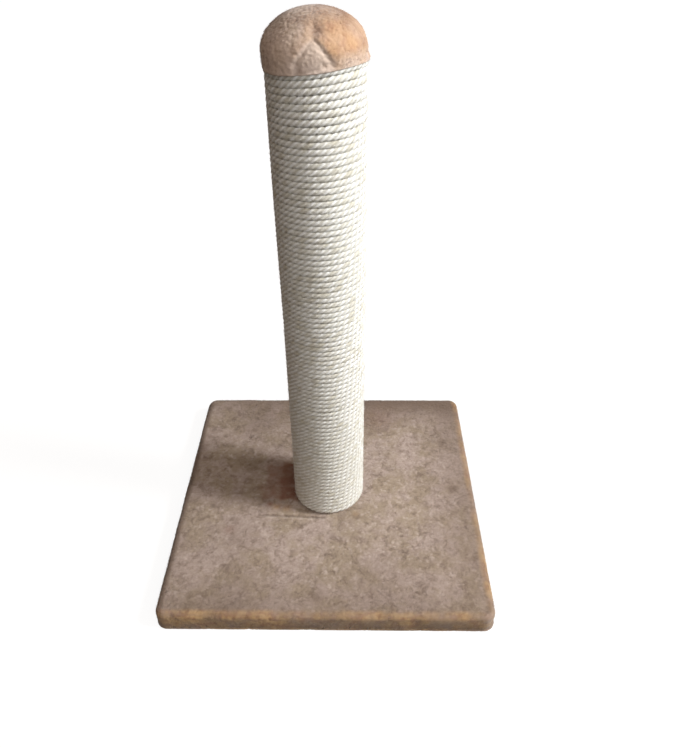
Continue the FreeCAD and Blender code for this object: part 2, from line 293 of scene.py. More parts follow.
def carpetMaterial(name, look):
    # short cut pile: tufts differ in shade, their gaps get painted shade, and where the pile opens over an
    # edge the golden foot of the fibres shows, painted brightest where it faces the lamps
    sheet = NodeSheet(name, Roughness=0.95, Sheen_Weight=0.25, Sheen_Roughness=0.6, Specular_IOR_Level=0.1)
    space = sheet.place()
    broad = sheet.noise(space, 26.0, 3.0, 0.6)
    blotches = sheet.noise(space, 85.0, 3.0, 0.6, 0.6)
    spots = sheet.noise(sheet.place((1, 1, 1), (0.4, 0.2, 0.9)), 120.0, 2.0, 0.5)
    speckle = sheet.noise(space, 420.0, 3.0, 0.7)
    cloth = sheet.mix(sheet.grey(broad, 0.42, 0.6), look["mauve"], look["olive"])
    cloth = sheet.tint(cloth, look["blotchAndShade"], blotches, 0.5, 0.68, 0.65)
    cloth = sheet.tint(cloth, look["pale"], spots, 0.58, 0.72, 0.55)
    tuftShade, gapShade, edge = (sheet.attribute(name) for name in ("shade", "gapShade", "edge"))
    cloth = sheet.tint(cloth, look["pale"], tuftShade, 0.6, 1.0, 0.5)
    cloth = sheet.tint(cloth, look["blotchAndShade"], tuftShade, 0.4, 0.0, 0.45)
    cloth = sheet.tint(cloth, look["blotchAndShade"], speckle, 0.5, 0.72, 0.25)
    # painted shade down between the tufts, and in creases, slits and dents
    cloth = sheet.mix(sheet.maths("MULTIPLY", gapShade, 0.34), cloth, look["blotchAndShade"])
    # on the base: painted shade along the back, on the shaded roll and in the post's shadow, and darker pile
    # towards the edges; on the cap: its browner tones
    cloth = sheet.mix(sheet.grey(edge, 0.0, 1.28), cloth, look["blotchAndShade"])
    goldenAndLit = sheet.tint(look["openedAndLit"], look["openedAndLitDeep"], spots, 0.45, 0.62, 0.8)
    # golden opened pile with painted light, most on the sides that face the lamps
    cloth = sheet.mix(sheet.maths("MULTIPLY", sheet.attribute("openedAndLit"), 0.85), cloth, goldenAndLit)
    # red-brown stain, partly painted shadow of the post
    cloth = sheet.mix(sheet.maths("MULTIPLY", sheet.attribute("stainAndShadow"), 0.9), cloth, look["stainAndShadow"])
    # painted shade, with a dark brown tone, near the floor
    cloth = sheet.mix(sheet.maths("MULTIPLY", sheet.attribute("low"), 0.65), cloth, look["nearFloor"])
    sheet.colour(cloth)
    fibres = sheet.noise(space, 1600.0, 2.0, 0.6)
    sheet.bump(fibres, 0.5, 0.5 * mm)
    return sheet.result


sisalLook = {
    "fibre": linear(238, 239, 233),
    "straw": linear(210, 206, 190),
    "bleached": linear(249, 251, 250),
    # painted shade between the strands and the turns, and also the grey near the floor
    "groove": linear(182, 177, 160),
}


def sisalMaterial(name, followsRope):
    # bleached and straw-coloured fibres that run along the rope, with painted shade down between the strands
    # and the turns
    sheet = NodeSheet(name, Roughness=0.85, Sheen_Weight=0.12, Sheen_Roughness=0.5, Specular_IOR_Level=0.15)
    if followsRope:
        streaks = sheet.noise(sheet.place((150, 3000, 1), source="UV"), 1.0, 3.0, 0.6)
        tone, gapShade, dust = (sheet.attribute(name) for name in ("tone", "gapShade", "dust"))
        fibre = sheet.mix(sheet.grey(streaks, 0.42, 0.68), sisalLook["bleached"], sisalLook["fibre"])
        fibre = sheet.tint(fibre, sisalLook["straw"], tone, 0.5, 0.95, 0.9)
        fibre = sheet.tint(fibre, sisalLook["straw"], streaks, 0.6, 0.74, 0.6)
        # painted shade down between the strands and between the turns
        fibre = sheet.tint(fibre, sisalLook["groove"], gapShade, 0.15, 1.0, 0.7)
        fibre = sheet.mix(sheet.maths("MULTIPLY", dust, 0.35), fibre, sisalLook["groove"])
        sheet.bump(streaks, 0.7, 0.5 * mm)
    else:
        fibre = sheet.mix(sheet.attribute("shade"), sisalLook["bleached"], sisalLook["straw"])
    sheet.colour(fibre)
    return sheet.result


woodLook = {
    "chips": (linear(150, 112, 72), linear(196, 160, 112), linear(222, 194, 150)),     # dark, middle, light
    "slivers": linear(214, 182, 132),
    "cloud": linear(170, 132, 88),
    "fibreboard": (linear(150, 116, 80), linear(182, 148, 108)),
}


def boardMaterial():
    # particle board: flat chips of several browns in every direction
    sheet = NodeSheet("particleBoard", Roughness=0.75, Specular_IOR_Level=0.3)
    space = sheet.place((1, 1, 2.2))
    crossed = sheet.place((1, 3.2, 1), (0, 0, 0.7))
    chips = sheet.add("ShaderNodeTexVoronoi", {"Vector": space, "Scale": 330.0, "Randomness": 1.0})
    slivers = sheet.add("ShaderNodeTexVoronoi", {"Vector": crossed, "Scale": 160.0})
    tone = sheet.add("ShaderNodeSeparateColor", {0: chips.outputs["Color"]}).outputs[0]
    wood = sheet.ramp(tone, *zip((0.0, 0.45, 1.0), woodLook["chips"]))
    sliverTone = sheet.add("ShaderNodeSeparateColor", {0: slivers.outputs["Color"]}).outputs[1]
    wood = sheet.tint(wood, woodLook["slivers"], sliverTone, 0.72, 0.8, 0.6)
    wood = sheet.tint(wood, woodLook["cloud"], sheet.noise(space, 24.0), 0.3, 0.7, 0.35)
    sheet.colour(wood)
    sheet.bump(chips.outputs["Distance"], 0.35, 0.25 * mm)
    return sheet.result


def plugMaterial():
    # fine pressed fibreboard
    sheet = NodeSheet("fibreboard", Roughness=0.85, Specular_IOR_Level=0.25)
    space = sheet.place()
    fine = sheet.noise(space, 900.0, 4.0, 0.7)
    sheet.colour(sheet.ramp(fine, *zip((0.3, 0.7), woodLook["fibreboard"])))
    sheet.bump(fine, 0.3, 0.15 * mm)
    return sheet.result


def paperMaterial():
    # grey-brown paper with finer and cloudy mottling
    sheet = NodeSheet("tubePaper", Roughness=0.8, Specular_IOR_Level=0.25)
    space = sheet.place()
    fine = sheet.noise(space, 700.0, 4.0, 0.65)
    cloudy = sheet.noise(space, 60.0)
    paper = sheet.ramp(fine, (0.25, linear(146, 118, 86)), (0.75, linear(176, 148, 114)))
    paper = sheet.tint(paper, linear(138, 110, 80), cloudy, 0.3, 0.7, 0.3)
    sheet.colour(paper)
    sheet.bump(fine, 0.25, 0.1 * mm)
    return sheet.result


def metalMaterial(name, colour, roughness, scratchScale):
    # plated steel, dulled in spots, with wear in its gloss
    sheet = NodeSheet(name, Metallic=1.0)
    space = sheet.place((1, 1, 0.15))
    wear = sheet.noise(space, scratchScale, 4.0, 0.65)
    spots = sheet.noise(sheet.place(), 160.0, 3.0, 0.6)
    metal = sheet.tint(colour, linear(150, 146, 138), spots, 0.45, 0.7, 0.3)
    sheet.colour(metal)
    sheet.plug(sheet.grey(wear, 0.3, 0.7, roughness * 0.8, roughness * 1.3), sheet.shader.inputs["Roughness"])
    sheet.bump(wear, 0.08, 0.05 * mm)
    return sheet.result


def foamMaterial():
    # small open cells
    sheet = NodeSheet("openFoam", Roughness=0.95, Specular_IOR_Level=0.1)
    cells = sheet.add("ShaderNodeTexVoronoi", {"Vector": sheet.place(), "Scale": 900.0}).outputs["Distance"]
    sheet.colour(sheet.ramp(cells, (0.0, linear(232, 224, 196)), (0.8, linear(206, 194, 160))))
    sheet.bump(cells, 0.4, 0.3 * mm)
    return sheet.result


carpet = carpetMaterial("plushCarpet", carpetLook)
capCarpet = carpetMaterial("capCarpet", capLook)
sisal = sisalMaterial("sisalRope", True)
sisalHair = sisalMaterial("sisalHair", False)
print("materials made")


baseCarpet = {
    "edgeRadius": 7 * mm,         # roll over the board's upper edge
    "cornerRadius": 15.5 * mm,    # upright corners
    "foldRadius": 3.5 * mm,
    "hemWidth": 42 * mm,
    "pileBelow": 1.2 * mm,        # mean pile surface inside the CAD surface, so that fibre tips end at it
    "wallBelow": 1.0 * mm,        # that much more on the walls
    "topColumns": 312,            # points along a side of the square grid
    "wallRings": 19,              # of its outer rings that go over the edge and down the wall
    "tuftCell": 3.2 * mm,
    "tuftHeight": 1.0 * mm,
    "dip": 0.5 * mm,              # slow waves in the pile
    "slitWidth": 1.5 * mm,        # where two hem flaps meet
    "stapleSpots": (39.5 * mm, 118.5 * mm),   # along each side, either way from its middle
    "stapleDent": 2.6 * mm,                   # depth of the dent at each staple
    "stapleMark": (6.5 * mm, 2.6 * mm),       # and how far it reaches along and across the row
    "seamFrom": (-88 * mm, -49 * mm),         # a short pressed line in the pile, in front of the post's foot
    "seamTo": (-4 * mm, -54 * mm),
    # red-brown stain and painted shadow of the post
    "darkPatch": (-92 * mm, -30 * mm, -22 * mm, 52 * mm),   # stained patch: left, right, front and back
    # the darker band along the back is painted shade
    "darkerBorder": (95 * mm, 70 * mm),            # width of the darker pile along the sides, and along the back
    "darkerBelow": 17 * mm,
    # spots in the pile: x, y and radius in mm, and strength
    "openSpots": ((-70, -30, 6, 0.6), (-56, -33, 6, 0.5), (36, -43, 5, 0.3)),
    # the wide spot behind the post is painted shadow; the others are brown marks
    "brownSpotsAndShadow": ((-92, 3, 7, 0.5), (-79, -26, 4, 0.8), (-128, -70, 7, 0.35), (70, 148, 26, 0.22)),
    # the small dark spots are marks; the wide ones are painted shade, and the one of negative strength is
    # painted light in the post's shadow
    "darkSpotsAndShade": ((171, 4, 6, 0.7), (167, 97, 8, 0.5), (-9, -172, 7, 0.5), (-178, 45, 38, -0.32),
                  (-110, 125, 30, 0.26), (62, 122, 26, 0.24), (65, -132, 32, 0.22), (112, -125, 30, 0.16),
                  (-110, -82, 26, 0.2), (176, 125, 22, 0.2), (172, 172, 20, 0.2), (-58, 76, 16, 0.16),
                  (168, -90, 24, 0.12)),
    "fibres": 78000,
    "fibreLength": 2.1 * mm,
    "fibreWidth": 0.4 * mm,
    "seed": 11,
}


def squareRing(unit, half, corner):
    # points on the outline of a unit square taken to a rounded square of this half side: clamp to the inner
    # square and push out from there by the corner radius
    q = unit * half[..., None]
    inner = (half - corner)[..., None]
    centre = np.clip(q, -inner, inner)
    direction = unitLong(q - centre)
    return centre + direction * corner[..., None], direction


def pileHeight(points, spec):
    # height of the pile along the surface normal, how deep a point lies between tufts (for their painted
    # shade), and each tuft's shade
    nearness, shade = tufts(points, spec["tuftCell"], spec["seed"])
    slow = latticeNoise(points, 22 * mm, spec["seed"] + 3)
    fine = latticeNoise(points, 1.5 * mm, spec["seed"] + 5)
    rise = np.sqrt(clamp(nearness * 1.5))
    height = (rise - 0.75) * spec["tuftHeight"] + fine * 0.25 * mm + slow * spec["dip"]
    shade = clamp(shade * 0.6 + 0.2 + 0.3 * latticeNoise(points, 6 * mm, spec["seed"] + 9))
    return height, 1 - rise, shade


def arcProfile(steps, first, last, centre, radius):
    # points of an arc in the (outward, up) plane, angle from straight up, with their normals
    angle = np.radians(np.linspace(first, last, steps))
    normal = np.stack([np.sin(angle), np.cos(angle)], -1)
    return np.array(centre) + normal * radius, normal


def wallProfile(spec):
    # from the end of the flat top over the roll and down the wall to the fold: half sides, levels, normals
    flatHalf = baseHalf - spec["edgeRadius"]
    rollSteps = spec["wallRings"] // 2
    rollMiddle = (flatHalf, baseTop - spec["edgeRadius"])
    roll, rollNormal = arcProfile(rollSteps, 0, 90, rollMiddle, spec["edgeRadius"])
    levels = np.linspace(roll[-1, 1], spec["foldRadius"], spec["wallRings"] - rollSteps + 1)[1:]
    wall = np.stack([np.full(len(levels), baseHalf), levels], -1)
    return np.vstack([roll, wall]), np.vstack([rollNormal, np.tile([1.0, 0.0], (len(wall), 1))])


def lineDistance(points, start, end):
    # distance in plan from a straight line, signed, and how far along it a point is, from 0 to 1
    start, end = np.array(start), np.array(end)
    span = end - start
    length = np.linalg.norm(span)
    offset = points[..., :2] - start
    along = offset @ span / length ** 2
    return (offset[..., 1] * span[0] - offset[..., 0] * span[1]) / length, along


def baseTopPiece(spec):
    # top, roll and wall in one: the rings of a square grid follow a profile out from the middle, over the
    # edge and down. Each ring is a rounded square, displaced along its normal by the pile
    columns = spec["topColumns"]
    line = np.linspace(-1, 1, columns)
    unit = np.stack(np.meshgrid(line, line), -1)
    size = np.abs(unit).max(-1)
    ring = np.rint((1 - size) * (columns - 1) / 2).astype(int)     # 0 at the outline
    wall, wallNormal = wallProfile(spec)
    flatRings = columns // 2 - len(wall)
    flat = np.linspace(0, wall[0, 0], flatRings + 1)[:-1] + 0.3 * mm
    half = np.concatenate([flat, wall[:, 0]])[::-1][ring]
    level = np.concatenate([np.full(flatRings, baseTop), wall[:, 1]])[::-1][ring]
    normal = np.vstack([np.tile([0.0, 1.0], (flatRings, 1)), wallNormal])[::-1][ring]
    corner = np.maximum(spec["cornerRadius"] + half - baseHalf, half * 0.04)
    plan, direction = squareRing(unit / np.maximum(size, 1e-9)[..., None], half, corner)
    points = np.concatenate([plan, level[..., None]], -1)
    outward = np.concatenate([direction * normal[..., :1], normal[..., 1:]], -1)
    height, gapShade, shade = pileHeight(points, spec)
    distance, along = lineDistance(points, spec["seamFrom"], spec["seamTo"])
    onSeam = (along > 0) & (along < 1) & (normal[..., 1] > 0.9)
    seam = bell(distance, 1.3 * mm) * onSeam
    trough = bell(distance - 4.5 * mm, 1.6 * mm) * onSeam
    below = spec["pileBelow"] + spec["wallBelow"] * normal[..., 0]
    points += outward * (height - below + seam * 0.5 * mm - trough * 1.1 * mm)[..., None]
    # a band from the lowest ring back up to the board's top, and one flat face over it, close the piece
    border = borderOrder(columns)
    innerRing = columns * columns + np.arange(len(border))
    inner = points.reshape(-1, 3)[border] * [0.985, 0.985, 1]
    inner[:, 2] = boardHigh.z
    faces = gridFaces(columns, columns, False) + bandFaces(innerRing, border) + [innerRing.tolist()]
    # the pressed line's ridge is painted paler, and its trough gets painted shade
    values = {"gapShade": clamp(gapShade + trough), "shade": clamp(shade + seam * 0.3 - trough * 0.5),
              "openedAndLit": wallTone(points, normal[..., 0]), "edge": edgeTone(points),
              "stainAndShadow": stainAndShadowTone(points), "low": lowTone(level)}
    piece = meshPiece("base_carpet_top", np.vstack([points.reshape(-1, 3), inner]), faces, values)
    return finished(piece, carpet, "carpet", "base_carpet")


def lowTone(level):
    # painted shade, with a dark brown tone, on the pile near the floor
    return clamp(1 - level / baseCarpet["darkerBelow"])


def stainAndShadowTone(points):
    # red-brown stain with painted shadow of the post on the left of its foot, in an uneven square patch,
    # deeper from 22 mm in, and brown spots
    left, right, front, back = baseCarpet["darkPatch"]
    x, y = points[..., 0], points[..., 1]
    ragged = latticeNoise(points, 9 * mm, 301) * 4 * mm
    patch = np.clip((x - left + ragged) / (10 * mm), 0, 0.6)
    patch += np.clip((x - left - 22 * mm + ragged) / (14 * mm), 0, 0.4)
    patch *= clamp((right - x) / (8 * mm)) * clamp((y - front + ragged) / (6 * mm))
    patch *= clamp((back + ragged - y) / (6 * mm))
    patch *= 0.95 + 0.5 * latticeNoise(points, 7 * mm, 303)
    return clamp(patch) + spotTone(points, baseCarpet["brownSpotsAndShadow"])


def spotTone(points, spots):
    # soft round spots
    x, y = points[..., 0] / mm, points[..., 1] / mm
    return sum(strength * bell(np.hypot(x - middleX, y - middleY), radius)
               for middleX, middleY, radius, strength in spots)


def edgeTone(points):
    # darker pile towards the edges, painted shade along the back and on the roll at the left and back, that
    # faces away from the lamps, a painted shadow band across the left, where the post's shadow falls, and
    # spots
    x, y = points[..., 0], points[..., 1]
    sideWidth, backWidth = baseCarpet["darkerBorder"]
    far = np.maximum(np.maximum(x, np.abs(y)), -x - 30 * mm)
    sides = clamp(1 - (baseHalf - far) / sideWidth) ** 1.2
    back = clamp(1 - (baseHalf - y) / backWidth) * clamp(x / (110 * mm) + 0.9)
    over = clamp((np.maximum(-x + 4 * mm, y) - baseHalf + 8 * mm) / (5 * mm))
    leftward = bell(x + 115 * mm, 38 * mm)
    return 0.75 * sides + 0.75 * back + over + 0.22 * leftward + spotTone(points, baseCarpet["darkSpotsAndShade"])


def wallTone(points, outwardShare):
    # how far the pile opens on the walls, with painted light: in patches, most on the front and right, that
    # face the lamps, where it also opens on the last of the top, hardly on the left and back
    x, y = points[..., 0], points[..., 1]
    patches = 0.5 * latticeNoise(points * [1, 1, 2.2], 26 * mm, 91) + 0.3 * latticeNoise(points, 9 * mm, 92)
    facing = clamp(-y / baseHalf) ** 4 + 0.8 * clamp(x / baseHalf) ** 4
    border = clamp((np.maximum(x, -y) - baseHalf + 13 * mm) / (5 * mm)) * 0.75
    walls = np.maximum(clamp((outwardShare - 0.25) * 2.2), border)
    return walls * clamp(patches + 0.6) * clamp(0.15 + facing) + spotTone(points, baseCarpet["openSpots"])


def borderOrder(columns):
    # the grid's outline as point numbers, anticlockwise seen from above
    n = columns
    k = np.arange(n - 1)
    return np.concatenate([k, k * n + n - 1, n * n - 1 - k, (n - 1 - k) * n])


def baseHemPiece(spec):
    # fold, hem and inner edge: a profile of half sides and levels carried round the rounded square. Its last,
    # plain part runs back between carpet and board, so that the piece is closed
    columns = spec["topColumns"]
    line = np.linspace(-1, 1, columns)
    unit = np.stack(np.meshgrid(line, line), -1).reshape(-1, 2)[borderOrder(columns)]
    radius = spec["foldRadius"]
    fold, foldNormal = arcProfile(7, 90, 180, (baseHalf - radius, radius), radius)
    start = np.array([[baseHalf, radius + 2 * mm], [baseHalf, radius + 1 * mm]])
    hemInner = baseHalf - spec["hemWidth"]
    halves = np.linspace(fold[-1, 0], hemInner, 33)[1:]
    hem = np.stack([halves, np.zeros(len(halves))], -1)
    backTop = boardHigh.z - 1 * mm
    back = np.array([[hemInner, boardLow.z], [boardHigh.x, boardLow.z], [boardHigh.x, backTop],
                     [baseHalf - 3 * mm, backTop], [baseHalf - 3 * mm, radius + 3 * mm]])
    profile = np.vstack([start, fold, hem, back])
    down = np.tile([0, -1], (len(hem), 1))
    normal = np.vstack([[[1, 0], [1, 0]], foldNormal, down, np.zeros((len(back), 2))])
    half = profile[:, :1] * np.ones((1, len(unit)))
    corner = np.maximum(spec["cornerRadius"] + half - baseHalf, 0.5 * mm)
    plan, direction = squareRing(np.broadcast_to(unit, half.shape + (2,)), half, corner)
    points = np.concatenate([plan, profile[:, 1][:, None, None] + 0 * half[..., None]], -1)
    outward = np.concatenate([direction * normal[:, None, :1], normal[:, None, 1:] + 0 * half[..., None]], -1)
    height, gapShade, shade = pileHeight(points, spec)
    under = clamp(-normal[:, 1])[:, None]
    below = spec["pileBelow"] + spec["wallBelow"]
    height = (height - below) * (1 - under) + (np.minimum(height, 0) * 0.8 - 0.1 * mm) * under
    points += outward * height[..., None]
    diagonal = np.abs(np.abs(points[..., 0]) - np.abs(points[..., 1])) / math.sqrt(2)
    slit = bell(diagonal, spec["slitWidth"]) * (under > 0.99)
    across = np.minimum(np.abs(points[..., 0]), np.abs(points[..., 1]))
    outermost = np.maximum(np.abs(points[..., 0]), np.abs(points[..., 1]))
    markLong, markWide = spec["stapleMark"]
    dent = sum(np.exp(-((across - spot) / markLong) ** 4) for spot in spec["stapleSpots"])
    dent = dent * bell(outermost - stapleRow, markWide) * (under > 0.99)
    points[..., 2] += slit * 3.5 * mm + dent * spec["stapleDent"]
    rows, around = half.shape
    faces = [face[::-1] for face in gridFaces(rows, around, True)]
    ring = np.arange(around)
    faces += bandFaces(ring, (rows - 1) * around + ring)
    # painted shade in the slits between the flaps and in the staple dents
    piece = meshPiece("base_carpet_hem", points, faces, {
        "gapShade": clamp(gapShade + slit + dent * 0.6), "shade": shade, "openedAndLit": wallTone(points, normal[:, :1]),
        "edge": 0 * half, "stainAndShadow": 0 * half, "low": lowTone(points[..., 2]) * (1 - 0.8 * under)})
    return finished(piece, carpet, "carpet", "base_carpet", "carpet_hem")


topPiece = baseTopPiece(baseCarpet)
hemPiece = baseHemPiece(baseCarpet)
print("base carpet:", len(topPiece.data.polygons), "+", len(hemPiece.data.polygons), "faces")


rope = {
    "turns": 88,                 # as the CAD winding
    "lay": 19.5 * mm,            # rope length in which a strand goes once round
    "strandAngles": (-60, -42, -21, 0, 21, 42),   # section points of one strand, from valley to valley
    "strandCentre": 0.536,       # of a strand in the rope, as a share of the rope's radius
    "valleyFloor": 0.82,         # fibres fill the valleys up to this share
    "squareness": 3.4,           # 2 is a round rope, more is one pressed flat against its neighbours
    "overlap": 1.25,             # turns press into each other by this much
    "ringStep": 1.72 * mm,
    "lengths": 3,                # the rope is split into this many meshes
    "wander": 0.25 * mm,         # how far a turn strays up or down
    "swell": 0.16 * mm,
    "liftTurns": 9,              # the last turns climb towards the cap's raised rim
    "lift": 6.4 * mm,
    "liftAngle": -48,            # where they climb most
    "startAngle": 90,            # cut ends at the back
    "bulge": 1.5 * mm,           # towards the top the winding stands out on its left side
    "nearFloor": 0.24,               # level below which the rope greys, in m
    "seed": 23,
}
ropePitch = (ropeHigh.z - ropeLow.z) / (rope["turns"] + 1)
ropeHalf = 3 * mm
ropeRadius = ropeHigh.x - ropeHalf
ropeLength = rope["turns"] * math.hypot(2 * math.pi * ropeRadius, ropePitch)


def ropeCentre(s, spec):
    # centreline at rope length s: a helix of steady pitch that strays a little in height, and whose last
    # turns lift under the cap's raised rim. Returns points, outward and along
    turn = s / ropeLength * spec["turns"]
    angle = math.radians(spec["startAngle"]) + 2 * math.pi * turn
    probe = np.stack([s, np.zeros_like(s), np.zeros_like(s)], -1)
    stray = latticeNoise(probe, 60 * mm, spec["seed"]) * spec["wander"]
    late = clamp((turn - spec["turns"] + spec["liftTurns"]) / spec["liftTurns"])
    near = np.exp((np.cos(angle - math.radians(spec["liftAngle"])) - 1) * 1.6)
    outward = flatWay(angle)
    along = flatWay(angle + math.pi / 2)
    along[..., 2] = ropePitch / (2 * math.pi * ropeRadius)
    climbed = clamp((turn / spec["turns"] - 0.45) / 0.4)
    bulge = spec["bulge"] * climbed ** 2 * (3 - 2 * climbed) * clamp(0.4 - 0.6 * np.cos(angle))
    centre = outward * (ropeRadius + bulge)[..., None]
    centre[..., 2] = ropeLow.z + ropePitch * (turn + 0.5) + stray + late * near * spec["lift"]
    return centre, outward, along


def acrossRope(outward, along, angle):
    # unit vectors square to the rope, at an angle from outward
    angle = angle[..., None]
    return outward * np.cos(angle) + np.cross(outward, along) * np.sin(angle)


def ropePiece(spec, index):
    # one stretch of the rope. A section is three touching circles, whose valleys run on along the mesh's
    # columns while the section turns once per lay
    rings = int(ropeLength / spec["ringStep"] / spec["lengths"]) + 1
    s = np.linspace(index, index + 1, rings) * ropeLength / spec["lengths"]
    local = np.radians(np.tile(np.array(spec["strandAngles"], float), 3))
    sector = np.radians(np.repeat([0.0, 120.0, 240.0], len(spec["strandAngles"])))
    middle = spec["strandCentre"]
    circle = middle * np.cos(local) + np.sqrt(clamp((1 - middle) ** 2 - (middle * np.sin(local)) ** 2))
    shape = np.maximum(circle, spec["valleyFloor"])
    twist = 2 * math.pi * s / spec["lay"]
    turn = (sector + local)[None] + twist[:, None]
    power = spec["squareness"]
    pressed = (np.abs(np.cos(turn)) ** power + np.abs(np.sin(turn)) ** power) ** (-1 / power)
    centre, outward, along = ropeCentre(s, spec)
    section = acrossRope(outward[:, None], along[:, None], turn)
    radius = ropeHalf * shape[None] * pressed
    vertical = 1 + (spec["overlap"] - 1) * np.sin(turn) ** 2
    loose = latticeNoise(centre[:, None] + section * ropeHalf, 8 * mm, spec["seed"] + 1) * spec["swell"]
    outwardMost = ropeHalf / np.maximum(np.abs(np.cos(turn)), 1e-6)      # never beyond the rope's crest
    points = centre[:, None] + section * np.minimum(radius * vertical + loose, outwardMost)[..., None]
    strand = np.stack(np.broadcast_arrays(s[:, None], np.repeat([0.0, 0.4, 0.8], 6), 0 * turn), -1)
    tone = latticeNoise(strand, 11 * mm, spec["seed"] + 4) * 0.5 + 0.5
    dust = clamp(1 - points[..., 2] / spec["nearFloor"]) ** 0.5
    dust *= 0.75 + 0.25 * latticeNoise(points, 40 * mm, 9)
    valley = clamp((1 - shape) / (1 - spec["valleyFloor"]))[None] ** 1.5
    beside = clamp((np.abs(np.sin(turn)) - 0.8) * 5)
    columns = len(local)
    faces = gridFaces(rings, columns, True)
    k = np.arange(columns)
    faces += [k[::-1].tolist(), ((rings - 1) * columns + k).tolist()]
    r, c = np.arange(rings - 1)[:, None], np.arange(columns)[None]
    angle = np.append(sector + local, sector[0] + local[0] + 2 * math.pi)
    v = (angle[None] + twist[:, None]) * ropeHalf
    corners = [np.stack([s[r + i] + 0 * c, v[r + i, c + j]], -1) for i, j in ((0, 0), (0, 1), (1, 1), (1, 0))]
    uv = np.vstack([np.stack(corners, -2).reshape(-1, 2), np.zeros((2 * columns, 2))])
    # gapShade is painted shade down in the strands' valleys and between the turns
    values = {"gapShade": clamp(valley * 0.8 + beside * 0.1), "tone": tone, "dust": dust}
    piece = meshPiece(f"sisal_rope_{index + 1}", points, faces, values, uv)
    return finished(piece, sisal, "sisal", "sisal_rope")


ropePieces = [ropePiece(rope, index) for index in range(rope["lengths"])]
print("rope:", round(ropeLength, 2), "m,", sum(len(p.data.polygons) for p in ropePieces), "faces")


sisalFuzz = {
    "count": 38000,
    "length": (2.5 * mm, 8 * mm),
    "width": 0.2 * mm,
    "spread": 70,          # degrees either side of straight out
    "frayed": 160,         # fibres at each cut end
    "seed": 5,
}


def ropeHairs(spec):
    # loose fibres that lie along the rope and lift away from it, and the frayed cut ends
    random = np.random.default_rng(spec["seed"])
    count = spec["count"]
    s = random.uniform(0, ropeLength, count)
    angle = np.radians(random.uniform(-spec["spread"], spec["spread"], count))
    centre, outward, along = ropeCentre(s, rope)
    normal = acrossRope(outward, along, angle)
    roots = centre + normal * ropeHalf * 0.85
    ahead = np.where(random.random(count) < 0.5, -1.0, 1.0)[:, None]
    way = along * ahead + np.cross(normal, along) * random.normal(0, 0.7, (count, 1))
    way += normal * random.uniform(0.02, 0.3, (count, 1))
    lengths = random.uniform(*spec["length"], count)
    few = spec["frayed"]
    ends = np.repeat([0.0, ropeLength], few)
    endCentre, endOut, endAlong = ropeCentre(ends, rope)
    turn = random.uniform(0, 2 * math.pi, 2 * few)
    spread = random.uniform(0.1, 0.85, 2 * few) * ropeHalf
    aside = acrossRope(endOut, endAlong, turn)
    endWay = endAlong * np.repeat([-1.0, 1.0], few)[:, None] + aside * random.uniform(0, 0.45, (2 * few, 1))
    roots = np.vstack([roots, endCentre + aside * spread[:, None]])
    way = np.vstack([way, endWay])
    normal = np.vstack([normal, endOut])
    lengths = np.append(lengths, random.uniform(2 * mm, 5 * mm, 2 * few))
    shade = random.random(len(lengths)) ** 1.5
    piece = spikes("sisal_fuzz", roots, way, normal, lengths, spec["width"], {"shade": shade})
    finished(piece, sisalHair, "sisal")


ropeHairs(sisalFuzz)
print("rope hairs:", sisalFuzz["count"])


cap = {
    "columns": 288,
    "rows": 88,
    "shift": -2.1 * mm,             # the cover is pulled further over the post's left side
    "radius": 49.0 * mm,            # of the pile's mean surface at the widest level
    "rimRadius": 48.5 * mm,
    "widestAbove": 7 * mm,          # above the CAD cover's rim
    "topBelow": 0.7 * mm,           # mean pile surface under the CAD cover's top
    "tucks": (-88, 3, 93, 179),     # degrees anticlockwise from +X, as the CAD cap, the front one first
    "tuckHalf": 19.5,
    "tuckPoint": 31,                # degrees up the crown where a tuck ends
    "creaseDepth": 1.1 * mm,
    "creaseWidth": 3.2 * mm,
    "tuckSink": 1.6 * mm,
    "seamDepth": 3.2 * mm,          # valley that runs on from a tuck's point towards the top
    "seamWidth": 4.5 * mm,
    "seamEnd": 76,
    "lip": 1.1 * mm,                # thinnest edge of carpet, outside the rope
    "rimOver": 0.6 * mm,            # least overlap with the rope's last turn
    "rimRise": 3.6 * mm,            # of the right front lobe's edge
    "rimFall": 5.0 * mm,            # of the left front lobe's edge
    "rimBack": 1.5 * mm,            # fall at the back left
    "tuftCell": 3.0 * mm,
    "tuftHeight": 0.9 * mm,
    "dip": 0.6 * mm,
    "fibres": 15000,
    "fibreLength": 1.9 * mm,
    "fibreWidth": 0.38 * mm,
    "seed": 41,
}


def degreesOff(azimuth, middle):
    # from -180 to 180
    return (azimuth - middle + 180) % 360 - 180


def lobe(azimuth, middle, width):
    # 1 at the middle azimuth and falling away smoothly over the width, in degrees
    return bell(degreesOff(azimuth, middle), width)


def ropeTop(azimuth):
    # height of the last turn's upper side at this azimuth; it drops by one turn where the rope ends
    behindEnd = (rope["startAngle"] - azimuth) % 360
    return ropeCentre((1 - behindEnd / 360 / rope["turns"]) * ropeLength, rope)[0][..., 2] + ropeHalf


def rimTable(spec):
    # the cover's edge is uneven: high on the right front lobe, low on the left front one, and everywhere it
    # comes down over the rope's last turn. Height against the CAD cover's edge, one entry per degree
    azimuth = np.arange(360.0)
    top = ropeTop(azimuth)
    low = np.min([np.roll(top, k) for k in range(-20, 21)], axis=0)
    low = np.mean([np.roll(low, k) for k in range(-18, 19)], axis=0)
    wanted = spec["rimRise"] * lobe(azimuth, -46, 40) - spec["rimFall"] * lobe(azimuth, -142, 48)
    wanted -= spec["rimBack"] * lobe(azimuth, 120, 35)
    return np.minimum(wanted, low - capLow.z - spec["rimOver"])


def rimLift(azimuth, spec):
    # height of the cover's edge against the CAD cover's, at any azimuth
    return np.interp(azimuth % 360, np.arange(361), np.append(spec["rim"], spec["rim"][0]))


